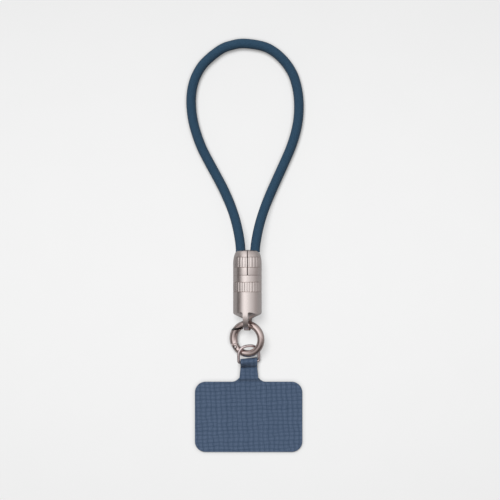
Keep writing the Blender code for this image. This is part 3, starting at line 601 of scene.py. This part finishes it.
def eye():
    """The grid of the slot through the tongue: a round-ended outline that a quarter circle widens
    towards both faces."""
    quarter = np.linspace(0, np.pi / 2, 6)
    depth = np.append(TONGUE_HALF - EYE_EDGE * (1 - np.sin(quarter)), 2 * TONGUE_HALF)
    widen = np.append(EYE_EDGE * (1 - np.cos(quarter)), EYE_EDGE)
    depth, widen = np.concatenate([-depth[::-1], depth]), np.concatenate([widen[::-1], widen])
    size = (2 * (EYE_RADIUS + EYE_STRETCH), 2 * EYE_RADIUS)
    return flat_tube(-widen, depth, size, steps=28)[..., [1, 0, 2]]


body_look = champagne("champagne_capsule", *CAPSULE_COLOURS)
capsule = skin("capsule", moved(turned_body(), capsule_origin), body_look)
roll = np.array([(math.cos(TONGUE_ROLL), 0, math.sin(TONGUE_ROLL)), (0, 1, 0),
                 (-math.sin(TONGUE_ROLL), 0, math.cos(TONGUE_ROLL))])
for name, grid, station, operation in (("nose", nose(), PARTING - BODY_LENGTH, "INTERSECT"),
                                       ("eye", eye(), EYE_STATION, "DIFFERENCE")):
    place = (CAPSULE_AXIS[0], station, CAPSULE_AXIS[1])
    combined(capsule, skin(name, moved(grid, place, roll), body_look), operation)
for side in (-1, 1):
    slot = flat_tube([-SOCKET_SPARE] * 2, [-SOCKET_DEPTH, SOCKET_DEPTH], PLUG_SIZE)
    slot = moved(slot + (side * PLUG_OFFSET, 0, 0), capsule_origin)
    combined(capsule, skin("socket", slot, body_look), "DIFFERENCE")
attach(capsule, "holder")
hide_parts("capsule_body")


# Sprung ring. A polished rose-gunmetal wire bent to a circle, with a forked end for the hinge and a
# slanting end that the gate's nose closes on. It hangs through the capsule's eye.
RING_CENTRE = (-0.73 * MM, 6.705 * MM, 5.347 * MM)
RING_RADIUS = 7.98 * MM
RING_WIRE = 1.9 * MM
RING_PITCH = math.radians(6.0)
RING_ROLL = math.radians(23.0)
HINGE_TURN = math.radians(216.0)
NOSE_TURN = math.radians(134.0)
NOSE_SLOPE = math.radians(9.5)
NOSE_BEVEL = math.radians(12.0)
NOSE_GAP = 0.5 * MM
NOSE_SPARE = math.radians(16.0)
JOINT_SHADE_HALF = 0.5 * MM
JOINT_SHADE_REACH = 3.5 * MM
EAR_REACH = math.radians(11.0)
FORK_HALF = 0.9 * MM
FORK_REACH = 2.0 * MM
FORK_MOUTH = 0.4 * MM
FORK_BLOCK = 6.0 * MM
NOSE_BLOCK = 5.7 * MM
PIN_BORE = 1.1 * MM
BORE_HALF = 4.0 * MM
PLATING_GRAIN = 700.0
PLATING_RELIEF = 0.01 * MM
RING_COLOURS = ((0.66, 0.55, 0.53), (0.53, 0.44, 0.42))
RING_GLOSS = 0.07
# Painted shade: a near-black colour beside the nose joint, for the shadow in its gap.
JOINT_SHADE_COLOUR = (0.012, 0.010, 0.010)

# Cast and plated metal, for the ring and all that hangs on it: slow clouds in the plating and short
# crossing scuffs.
SCUFF_TURN = (0.5, 0.3, 0.8)
SCUFF_STRETCH = (1.0, 9.0, 2.0)
SCUFF_LEAST = 0.55

plated, taken, given = effect("plating", {"Place": None, "Grain per metre": PLATING_GRAIN},
                              ["Cloud", "Scuff"])
grain = taken.outputs["Grain per metre"]
cloud = noise(plated, taken.outputs["Place"], grain, 5.0, 0.65)
plated.links.new(cloud, given.inputs["Cloud"])
skewed = node(plated, "Mapping", taken.outputs["Place"], None, SCUFF_TURN, SCUFF_STRETCH).outputs[0]
scuff = maths(plated, "SUBTRACT", noise(plated, skewed, grain, 2.0), SCUFF_LEAST)
plated.links.new(maths(plated, "SMOOTH_MAX", scuff, 0.0, 0.02), given.inputs["Scuff"])


def rose_metal(name, pale, deep, roughness, joint=None):
    """Rose-tinted plating over cast metal, with clouds in its colour and scuffs in its gloss. A
    joint, given by a spot and a normal, gets a near-black painted shade for a short way beside its
    plane, which stands in for the shadow in the joint's gap."""
    made, tree, shader = finish_of(name, roughness, 1.0)
    place = node(tree, "TexCoord").outputs["Object"]
    wear = use(tree, plated, place, PLATING_GRAIN)
    cloud, scuff = wear.outputs["Cloud"], wear.outputs["Scuff"]
    rough = maths(tree, "MULTIPLY_ADD", cloud, 0.10,
                  maths(tree, "MULTIPLY_ADD", scuff, 0.5, roughness - 0.05))
    colour = colour_between(tree, cloud, deep, pale)
    # Painted shade: the base colour goes near black beside the joint's plane, for the shadow in the
    # gap.
    if joint is not None:
        spot, normal = (Vector(line) for line in joint)
        off = node(tree, "VectorMath", place, spot, operation="SUBTRACT").outputs[0]
        level = node(tree, "VectorMath", off, normal, operation="DOT_PRODUCT").outputs["Value"]
        away = node(tree, "VectorMath", off, operation="LENGTH").outputs["Value"]
        beside = maths(tree, "LESS_THAN", maths(tree, "ABSOLUTE", level), JOINT_SHADE_HALF)
        painted_joint_shade = maths(tree, "MULTIPLY", beside, maths(tree, "LESS_THAN", away, JOINT_SHADE_REACH))
        colour = colour_between(tree, painted_joint_shade, colour, JOINT_SHADE_COLOUR)
    wire(tree, shader, Base_Color=colour, Roughness=rough,
         Normal=bump(tree, cloud, PLATING_RELIEF, 0.35))
    return made


ring_up = np.array([0.0, math.cos(RING_PITCH), math.sin(RING_PITCH)])
ring_across = np.array([math.cos(RING_ROLL), 0.0, math.sin(RING_ROLL)])
ring_across = unit(ring_across - ring_across @ ring_up * ring_up)
ring_axes = np.array([ring_across, ring_up, np.cross(ring_across, ring_up)])


def spin(angle):
    """The axes of a frame turned in the ring's plane."""
    cosine, sine = math.cos(angle), math.sin(angle)
    return np.array([(cosine, sine, 0), (-sine, cosine, 0), (0, 0, 1)])


def bent_wire(radius, start, end, steps, sides=48):
    """A grid of wire on the ring's circle: each turn's point is moved out by the radius times the
    cosine of the section's turn, and off the ring's plane by the radius times its sine."""
    turn = np.linspace(start, end, steps)[:, None]
    section = np.linspace(0, 2 * np.pi, sides, endpoint=False)[None]
    reach = RING_RADIUS + radius * np.cos(section)
    return points_of(reach * np.cos(turn), reach * np.sin(turn), radius * np.sin(section))


def block(low, high):
    """A grid of a box between two corners, as two four-cornered rows."""
    (a, b, c), (d, e, f) = low, high
    return np.array([[(a, b, z), (d, b, z), (d, e, z), (a, e, z)] for z in (c, f)])


def disc(radius, half, sides=64):
    """A grid of a disc across the ring's face, as thick as twice the half."""
    return rod(radius, -half, half, sides)[..., [0, 2, 1]]


def in_ring(name, grid, look, spot=(0, 0, 0), angle=0.0):
    """A skin over a grid that is given in the ring's frame, turned there and set on a spot."""
    return skin(name, moved(moved(grid, spot, spin(angle)), RING_CENTRE, ring_axes), look)


def nose_block(name, above, look):
    """The block on one side of the slanting joint between the gate's nose and the ring's end. The
    joint leans back by its bevel, so that nothing shows through it."""
    reach, gap = NOSE_BLOCK, NOSE_GAP / 2
    low, high = (-gap, reach) if above else (-reach, gap)
    shape = moved(block((-reach, low, -reach), (reach, high, reach)), (0, 0, 0), nose_lean)
    return in_ring(name, shape, look, nose_spot, NOSE_SLOPE)


hinge_spot, nose_spot = (RING_RADIUS * spin(angle)[0] for angle in (HINGE_TURN, NOSE_TURN))
nose_lean = np.array([(1, 0, 0), (0, math.cos(NOSE_BEVEL), math.sin(NOSE_BEVEL)),
                      (0, -math.sin(NOSE_BEVEL), math.cos(NOSE_BEVEL))])
nose_joint = (nose_spot @ ring_axes + RING_CENTRE, nose_lean[1] @ spin(NOSE_SLOPE) @ ring_axes)
ring_look = rose_metal("rose_gunmetal_ring", *RING_COLOURS, RING_GLOSS, nose_joint)
ring_end = 2 * math.pi + NOSE_TURN + NOSE_SPARE
ring = in_ring("ring_wire", bent_wire(RING_WIRE, HINGE_TURN - EAR_REACH, ring_end, 190), ring_look)
combined(ring, nose_block("nose_below", False, ring_look), "DIFFERENCE")
combined(ring, in_ring("fork", disc(FORK_REACH, FORK_HALF), ring_look, hinge_spot), "DIFFERENCE")
mouth = block((-FORK_BLOCK, -FORK_BLOCK, -FORK_HALF), (FORK_BLOCK, -FORK_MOUTH, FORK_HALF))
combined(ring, in_ring("mouth", mouth, ring_look, hinge_spot, HINGE_TURN), "DIFFERENCE")
combined(ring, in_ring("bore", disc(PIN_BORE, BORE_HALF, 40), ring_look, hinge_spot), "DIFFERENCE")
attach(ring, "holder")
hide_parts("spring_ring")


# Gate. A slightly thicker plated tube over a spring, bent to the ring's circle, with a flat knuckle
# at its lower end that turns on the pin between the ring's two ears.
GATE_WIRE = 2.15 * MM
GATE_SHOULDER = HINGE_TURN - EAR_REACH - math.radians(5.0)
GATE_COLOURS = ((0.77, 0.65, 0.63), (0.64, 0.54, 0.52))
KNUCKLE_HALF = 0.6 * MM
KNUCKLE_RADIUS = 1.7 * MM
KNUCKLE_SLAB = 5.0 * MM
NECK_TURNS = (GATE_SHOULDER - math.radians(4.0), HINGE_TURN - math.radians(2.0))

gate_look = rose_metal("rose_gunmetal_gate", *GATE_COLOURS, RING_GLOSS, nose_joint)
gate_grid = bent_wire(GATE_WIRE, NOSE_TURN - NOSE_SPARE, GATE_SHOULDER, 70)
gate = in_ring("gate_tube", gate_grid, gate_look)
combined(gate, nose_block("nose_above", True, gate_look), "DIFFERENCE")
neck = in_ring("neck", bent_wire(KNUCKLE_RADIUS, *NECK_TURNS, 14), gate_look)
slab = block((-KNUCKLE_SLAB, -KNUCKLE_SLAB, -KNUCKLE_HALF),
             (KNUCKLE_SLAB, KNUCKLE_SLAB, KNUCKLE_HALF))
combined(neck, in_ring("slab", slab, gate_look, hinge_spot), "INTERSECT")
combined(gate, neck, "UNION")
knuckle = disc(KNUCKLE_RADIUS, KNUCKLE_HALF)
combined(gate, in_ring("knuckle", knuckle, gate_look, hinge_spot), "UNION")
bore = disc(PIN_BORE, BORE_HALF / 2, 40)
combined(gate, in_ring("bore", bore, gate_look, hinge_spot), "DIFFERENCE")
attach(gate, "gate")
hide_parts("ring_gate")


# Hinge pin. A steel rivet through both ears and the knuckle, its two heads peened flush with the
# wire and slightly domed.
PIN_RADIUS = 0.8 * MM
PIN_HALF = 1.9 * MM
PIN_DOME = 0.25 * MM
PIN_COLOURS = ((0.72, 0.66, 0.65), (0.58, 0.52, 0.51))

pin_look = rose_metal("rivet_steel", *PIN_COLOURS, 0.2)
sweep = np.linspace(0.03, np.pi / 2, 9)
head_reach, head_level = PIN_RADIUS * np.sin(sweep), PIN_HALF - PIN_DOME * (1 - np.cos(sweep))
pin_grid = lathe(np.concatenate([head_reach, head_reach[::-1]]),
                 np.concatenate([-head_level, head_level[::-1]]), 40)[..., [0, 2, 1]]
pin = in_ring("hinge_rivet", pin_grid, pin_look, hinge_spot)
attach(pin, "holder")
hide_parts("gate_pin")


# D-ring. Round plated wire bent to a D and closed on its straight bar, which lies in the tab's
# fold. Its arc goes through the sprung ring, over its lower left and under its lower right.
D_WIRE = 0.75 * MM
D_HALF_WIDTH = 5.7103 * MM
D_HEIGHT = 8.9 * MM
D_ARC_HEIGHT = 5.3 * MM
D_ARC_POWER = 2.4
D_CORNER = 1.0 * MM
BAR_SPOT = (0.15 * MM, -5.7413 * MM, 3.426 * MM)
D_PITCH, D_ROLL, D_YAW = np.radians([13.0, 16.0, 5.0])
D_STEP = 0.2 * MM
D_COLOURS = ((0.80, 0.69, 0.69), (0.68, 0.58, 0.58))
D_GLOSS = 0.25


def d_outline():
    """The D's centre line: two quarter circles at the bar's ends, and an arc between upright legs
    whose width and rise are powers of a turn's cosine and sine."""
    quarter = np.linspace(0, np.pi / 2, 9)
    corner = D_CORNER * np.stack([np.sin(quarter), 1 - np.cos(quarter)], axis=1)
    right = corner + (D_HALF_WIDTH - D_CORNER, 0.0)
    turn = np.linspace(0, np.pi, 121)
    across = np.sign(np.cos(turn)) * np.abs(np.cos(turn)) ** (2 / D_ARC_POWER)
    rise = np.abs(np.sin(turn)) ** (2 / D_ARC_POWER)
    arc = points_of(D_HALF_WIDTH * across, D_HEIGHT - D_ARC_HEIGHT + D_ARC_HEIGHT * rise)
    left = right[::-1] * (-1.0, 1.0)
    return spaced_evenly(np.vstack([right, arc, left, right[:1]]), D_STEP)[:-1]


yawed = spin(D_YAW)
d_along = math.cos(D_ROLL) * yawed[0] - math.sin(D_ROLL) * yawed[2]
d_up = math.cos(D_PITCH) * yawed[1] + math.sin(D_PITCH) * yawed[2]
d_up = unit(d_up - d_up @ d_along * d_along)
d_axes = (d_along, d_up, np.cross(d_along, d_up))
d_look = rose_metal("rose_plated_wire", *D_COLOURS, D_GLOSS)
outline = np.pad(d_outline(), ((0, 0), (0, 1)))
d_grid = moved(tube(outline, D_WIRE, 32, closed=True), BAR_SPOT, d_axes)
d_ring = skin("d_wire", d_grid, d_look, closed_rows=True)
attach(d_ring, "holder")
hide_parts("d_ring")


# Phone tab. One T-shaped piece of coated woven canvas, cut with round corners. Its neck goes over
# the D-ring's bar, comes back underneath and is bonded to itself.
TAB_THICKNESS = 1.0 * MM
TAB_SIZE = (58.0 * MM, 37.9 * MM)
TAB_CORNER = 5.7 * MM
TAB_EDGE = 0.28 * MM
PLATE_TOP = -16.641 * MM
NECK_LENGTH = 10.9 * MM
NECK_WIDTH = 8.9 * MM
NECK_FILLET = 4.5 * MM
FOLD_MIDDLE = 1.55 * MM
FOLD_BACK = 2.6 * MM
FOLD_SETTLE = 1.4 * MM
FOLD_POWER = 1.35
LAYER_GAP = 0.15 * MM
UNDER_LAYER = 5.6 * MM
TAB_COLUMNS = 15
NECK_COLUMNS = 19
FLARE_ROWS = 20
YARN_PITCH = 0.52 * MM
WEAVE_UNEVENNESS = 0.5
WEAVE_RELIEF = 0.05 * MM
WEAVE_SHADOW = (0.026, 0.046, 0.080)
WEAVE_COLOURS = ((0.018, 0.042, 0.082), (0.136, 0.188, 0.290))
STREAK_STRETCHES = ((0.9, 0.045, 1.0), (0.045, 0.9, 1.0))
FLECK_SCALE = 1.6
BUNDLE_UNEVENNESS = 0.9
BUNDLE_STRETCH = (0.19, 0.245, 1.0)
BUNDLE_SKEW = math.radians(-2.5)

canvas_look, tree, shader = finish_of("woven_canvas", 0.9, Sheen_Weight=0.08, Sheen_Roughness=0.5,
                                      Specular_IOR_Level=0.25)
place = node(tree, "UVMap", uv_map="UVMap").outputs[0]
weave = use(tree, yarns, place, WEAVE_UNEVENNESS)
skewed = node(tree, "Mapping", place, None, (0.0, 0.0, BUNDLE_SKEW), BUNDLE_STRETCH).outputs[0]
bundles = use(tree, yarns, skewed, BUNDLE_UNEVENNESS).outputs["Height"]
shade = maths(tree, "MULTIPLY", weave.outputs["Tone"], 0.2)
for stretch in STREAK_STRETCHES:
    drawn = node(tree, "Mapping", place, None, None, stretch).outputs[0]
    shade = maths(tree, "MULTIPLY_ADD", noise(tree, drawn, 1.0, 2.0), 0.1, shade)
shade = maths(tree, "MULTIPLY_ADD", noise(tree, place, FLECK_SCALE, 3.0, 0.6), 0.15, shade)
shade = maths(tree, "MULTIPLY_ADD", bundles, 0.5, shade)
thread = colour_between(tree, shade, *WEAVE_COLOURS)
height = weave.outputs["Height"]
wire(tree, shader, Base_Color=woven_colour(tree, height, 0.55, WEAVE_SHADOW, thread),
     Normal=bump(tree, height, WEAVE_RELIEF, 0.7))


def neck_middle(across):
    """The neck's middle line at places across it, as rows of y and z: up from the plate onto its
    own lower layer, steeply up a flattened quarter ellipse behind the bar, over it in a half
    circle, down to the table and back under."""
    flat = TAB_THICKNESS / 2
    upper = flat + TAB_THICKNESS + LAYER_GAP
    bar_y = BAR_SPOT[1] + math.tan(D_YAW) * (across - BAR_SPOT[0])
    bar_z = BAR_SPOT[2] - math.tan(D_ROLL) * (across - BAR_SPOT[0])
    foot_y = BAR_SPOT[1] - FOLD_BACK
    under_end = PLATE_TOP + NECK_LENGTH - UNDER_LAYER - FOLD_MIDDLE - 1.5 * TAB_THICKNESS

    def rows(y, z):
        """Rows of y and z, as wide as the places across."""
        return points_of(y + 0 * across, z + 0 * across)

    ramp = np.linspace(0, 1, 14)[:, None]
    turn = np.radians(np.append(0, np.linspace(12, 87, 14)))[:, None]
    half_turn = np.linspace(np.pi / 2, -np.pi / 2, 30)[:, None]
    settle = np.linspace(0, 1, 8)[1:, None]
    low_z = bar_z - FOLD_MIDDLE
    start, last = bar_y - FOLD_SETTLE, under_end + TAB_THICKNESS
    return np.concatenate([
        rows(PLATE_TOP + (under_end - PLATE_TOP) * ramp, flat + (upper - flat) * ease(ramp)),
        rows(bar_y - (bar_y - foot_y) * np.cos(turn) ** FOLD_POWER,
             upper + (bar_z + FOLD_MIDDLE - upper) * np.sin(turn) ** FOLD_POWER),
        rows(bar_y + FOLD_MIDDLE * np.cos(half_turn), bar_z + FOLD_MIDDLE * np.sin(half_turn)),
        rows(bar_y - FOLD_SETTLE * settle, low_z + (flat - low_z) * ease(settle)),
        rows(start + (last - start) * settle, flat)])


def tab_grids():
    """Two grids, their flat places and the neck's length. The plate's rows narrow round its
    corners, and its top row has the neck's first points among its own. The neck's rows follow its
    middle line, and narrow from the plate through a round fillet on each side."""
    half_width, height = TAB_SIZE[0] / 2, TAB_SIZE[1]
    corner = np.linspace(0, np.pi / 2, 15)
    sides = np.linspace(TAB_CORNER, height - TAB_CORNER, 22)[1:-1]
    climb = np.concatenate([TAB_CORNER * (1 - np.cos(corner)), sides,
                            height - TAB_CORNER + TAB_CORNER * np.sin(corner)])
    reach = np.concatenate([half_width - TAB_CORNER + TAB_CORNER * np.sin(corner),
                            np.full_like(sides, half_width),
                            half_width - TAB_CORNER + TAB_CORNER * np.cos(corner)])
    columns = np.linspace(-1, 1, NECK_COLUMNS)
    neck_reach = NECK_WIDTH / 2 + NECK_FILLET
    joint = (BAR_SPOT[0] + neck_reach * columns) / reach[-1]
    shares = np.concatenate([np.linspace(-1, joint[0], TAB_COLUMNS, endpoint=False), joint,
                             np.linspace(1, joint[-1], TAB_COLUMNS, endpoint=False)[::-1]])
    x = reach[:, None] * shares
    plate = points_of(x, (PLATE_TOP - height + climb)[:, None], TAB_THICKNESS / 2)

    middle = neck_middle(np.array([BAR_SPOT[0]]))[:, 0]
    left = np.clip(1 - (middle[:, 0] - PLATE_TOP) / NECK_FILLET, 0, 1)
    left[FLARE_ROWS:] = 0
    wide = NECK_WIDTH / 2 + quarter_round(NECK_FILLET, left)
    across = BAR_SPOT[0] + wide[:, None] * columns
    rows = np.arange(len(wide))
    lines = np.stack([neck_middle(column)[rows, rows] for column in across.T], axis=1)
    neck = points_of(across, lines[..., 0], lines[..., 1])
    walked = np.append(0, np.cumsum(np.linalg.norm(np.diff(middle, axis=0), axis=1)))
    neck_place = points_of(across, PLATE_TOP + walked[:, None])
    return (plate, neck), (plate[..., :2] / YARN_PITCH, neck_place / YARN_PITCH), walked[-1]


grids, places, neck_run = tab_grids()
parts = [skin(name, grid, canvas_look, closed_columns=False, uv=place)
         for name, grid, place in zip(("canvas_tab", "neck"), grids, places)]
joined = bmesh.new()
for part in parts:
    joined.from_mesh(part.data)
bmesh.ops.remove_doubles(joined, verts=joined.verts, dist=0.01 * MM)
bmesh.ops.recalc_face_normals(joined, faces=joined.faces)
joined.to_mesh(parts[0].data)
joined.free()
bpy.data.objects.remove(parts[1], do_unlink=True)
tab = parts[0]
thick = tab.modifiers.new("thickness", "SOLIDIFY")
thick.thickness, thick.offset, thick.use_even_offset = TAB_THICKNESS, 0.0, True
edge = tab.modifiers.new("cut_edge", "BEVEL")
edge.width, edge.segments = TAB_EDGE, 3
edge.limit_method, edge.angle_limit = "ANGLE", math.radians(60)
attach(tab, "holder")
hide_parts("phone_tab")


# Table and light. A pale table carries a painted glow that only the camera sees, brightest left of
# the capsule, with painted shade close to the pieces; one large soft lamp hangs above the loop. The
# gloss sees a studio that is bright overhead, dark to the left, and darkens fast on the tab's side.
TABLE_HALF = 3.0
TABLE_LEVEL = -0.02 * MM
TABLE_COLOURS = ((0.40, 0.40, 0.40), (0.415, 0.415, 0.415))
MOTTLE_SCALE = 40.0
# Painted light and shade on the table: levels of a camera-only glow, and how near the pieces it is
# shaded.
PAINTED_GLOW_LEVELS = (0.515, 0.41)
GLOW_FALL = 2.5
GLOW_SPOT = (-0.026, 0.049, 0.0)
GLOW_STRETCH = (0.5, 1.0, 1.0)
PAINTED_SHADE_REACH = 2.3 * MM
LAMP_POWER = 2.6
LAMP_ANGLE = math.radians(30.0)
LAMP_WAY = (-0.21, 0.40, 1.0)
FILL = 0.2
ROOM_PEAK = 1.6
ROOM_WARMTH = (0.0, 0.08, 0.10)
ROOM_ACROSS = ((-1.0, 0.11), (-0.86, 0.40), (-0.70, 0.95), (-0.52, 1.42), (-0.32, 1.55),
               (-0.08, 1.34), (0.2, 1.12), (0.45, 0.94), (0.72, 0.77), (1.0, 0.47))
ROOM_ALONG = ((-1.0, 0.06), (-0.66, 0.16), (-0.47, 0.33), (-0.17, 0.65), (0.0, 1.0), (0.3, 0.98),
              (0.65, 0.72), (1.0, 0.5))

scene = bpy.context.scene
scene.view_settings.view_transform = "Standard"


def ramp_of(tree, value, stops, peak):
    """A colour ramp over a value from -1 to 1: levels up to a peak, the dimmer the warmer."""
    ramp = node(tree, "ValToRGB", maths(tree, "MULTIPLY_ADD", value, 0.5, 0.5))
    ramp.color_ramp.interpolation = "EASE"
    while len(ramp.color_ramp.elements) < len(stops):
        ramp.color_ramp.elements.new(0.5)
    for stop, (position, level) in zip(ramp.color_ramp.elements, stops):
        stop.position = position / 2 + 0.5
        dimness = 1.0 - min(level, 1.0)
        stop.color = [level / peak * (1 - cut * dimness) for cut in ROOM_WARMTH] + [1.0]
    return ramp.outputs[0]


table_look, tree, shader = finish_of("pale_table", 0.8, Specular_IOR_Level=0.0)
place = node(tree, "TexCoord").outputs["Object"]
mottle = noise(tree, place, MOTTLE_SCALE, 3.0)
seen = node(tree, "LightPath").outputs["Is Camera Ray"]
shader.inputs["Emission Color"].default_value = (1.0, 1.0, 1.0, 1.0)
# Painted light: a glow seen only by camera rays, brightest at a spot left of the capsule.
shift = [-spot * stretch for spot, stretch in zip(GLOW_SPOT, GLOW_STRETCH)]
off_spot = node(tree, "Mapping", place, shift, None, GLOW_STRETCH).outputs[0]
away = node(tree, "VectorMath", off_spot, operation="LENGTH").outputs["Value"]
painted_glow = maths(tree, "MULTIPLY_ADD", maths(tree, "MULTIPLY", away, away), -GLOW_FALL, PAINTED_GLOW_LEVELS[0])
painted_glow = maths(tree, "MULTIPLY", seen, maths(tree, "MAXIMUM", painted_glow, PAINTED_GLOW_LEVELS[1]))
# Painted shade: the glow dims where the pieces hem the table in.
painted_shade_factor = node(tree, "AmbientOcclusion", None, PAINTED_SHADE_REACH, samples=12).outputs["AO"]
wire(tree, shader, Base_Color=colour_between(tree, mottle, *TABLE_COLOURS),
     Emission_Strength=maths(tree, "MULTIPLY", painted_glow, painted_shade_factor))
table_edges = np.array([-TABLE_HALF, TABLE_HALF])
table_grid = points_of(table_edges, table_edges[:, None], TABLE_LEVEL)
table = skin("table", table_grid, table_look, closed_columns=False)

lamp_data = bpy.data.lights.new("soft_lamp", "SUN")
lamp_data.energy, lamp_data.angle = LAMP_POWER, LAMP_ANGLE
lamp = bpy.data.objects.new("soft_lamp", lamp_data)
lamp.rotation_euler = Vector(LAMP_WAY).to_track_quat("Z", "Y").to_euler()
lamp.visible_glossy = False
scene.collection.objects.link(lamp)

world = bpy.data.worlds.new("studio")
scene.world = world
world.use_nodes = True
tree = world.node_tree
tree.nodes.clear()
way = node(tree, "SeparateXYZ", node(tree, "TexCoord").outputs["Generated"])
room = node(tree, "Mix", data_type="RGBA", blend_type="MULTIPLY")
room.inputs[0].default_value = 1.0
tree.links.new(ramp_of(tree, way.outputs[0], ROOM_ACROSS, ROOM_PEAK), room.inputs[6])
tree.links.new(ramp_of(tree, way.outputs[1], ROOM_ALONG, ROOM_PEAK), room.inputs[7])
glossy = node(tree, "Background", room.outputs[2], ROOM_PEAK ** 2)
plain = node(tree, "Background", (FILL, FILL, FILL, 1.0), 1.0)
seen = node(tree, "LightPath").outputs["Is Glossy Ray"]
both = node(tree, "MixShader", seen, plain.outputs[0], glossy.outputs[0])
tree.links.new(both.outputs[0], node(tree, "OutputWorld").inputs[0])
